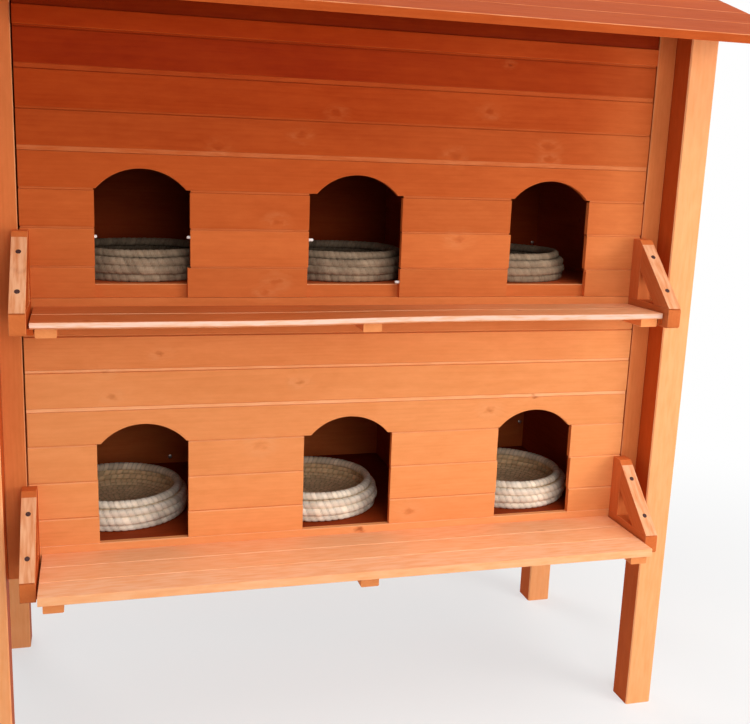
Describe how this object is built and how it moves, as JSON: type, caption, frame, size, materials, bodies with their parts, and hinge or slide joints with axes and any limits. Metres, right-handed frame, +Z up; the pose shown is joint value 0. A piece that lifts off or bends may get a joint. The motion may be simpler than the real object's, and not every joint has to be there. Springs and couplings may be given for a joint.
{
  "type": "pigeon nest house",
  "caption": "Raised wooden nest house with two rows of arched pop holes, rest boards on brackets, woven bowls and a pitched roof.",
  "frame": {"origin": "on the ground under the middle of the roof", "axes": "+Z up, X along the front, the front with the pop holes faces -Y"},
  "size_m": [1.58, 0.884, 1.6059],
  "materials": {
    "stained_fir": "orange-red wood stain, satin",
    "woven_straw": "coiled straw rope, matte"
  },
  "bodies": {
    "root": {"arch_board_lower": "stained_fir", "arch_board_upper": "stained_fir", "back_wall": "stained_fir", "bearers_lower": "stained_fir", "bearers_upper": "stained_fir", "bottom_rail": "stained_fir", "bracket_lower_left": "stained_fir", "bracket_lower_right": "stained_fir", "bracket_upper_left": "stained_fir", "bracket_upper_right": "stained_fir", "dividers_lower": "stained_fir", "dividers_upper": "stained_fir", "floor_lip": "stained_fir", "floor_lower": "stained_fir", "floor_upper": "stained_fir", "front_band_lower": "stained_fir", "front_band_upper": "stained_fir", "front_frieze": "stained_fir", "front_piers_lower": "stained_fir", "front_piers_upper": "stained_fir", "nest_bowl_lower_left": "woven_straw", "nest_bowl_lower_middle": "woven_straw", "nest_bowl_lower_right": "woven_straw", "nest_bowl_upper_left": "woven_straw", "nest_bowl_upper_middle": "woven_straw", "nest_bowl_upper_right": "woven_straw", "post_back_left": "stained_fir", "post_back_right": "stained_fir", "post_front_left": "stained_fir", "post_front_right": "stained_fir", "rest_board_lower_back": "stained_fir", "rest_board_lower_front": "stained_fir", "rest_board_lower_middle": "stained_fir", "rest_board_upper_back": "stained_fir", "rest_board_upper_front": "stained_fir", "ridge_cap": "stained_fir", "roof_back": "stained_fir", "roof_front": "stained_fir", "side_wall_left": "stained_fir", "side_wall_right": "stained_fir", "stile_left": "stained_fir", "stile_right": "stained_fir", "top_rail": "stained_fir"}
  },
  "joints": []
}
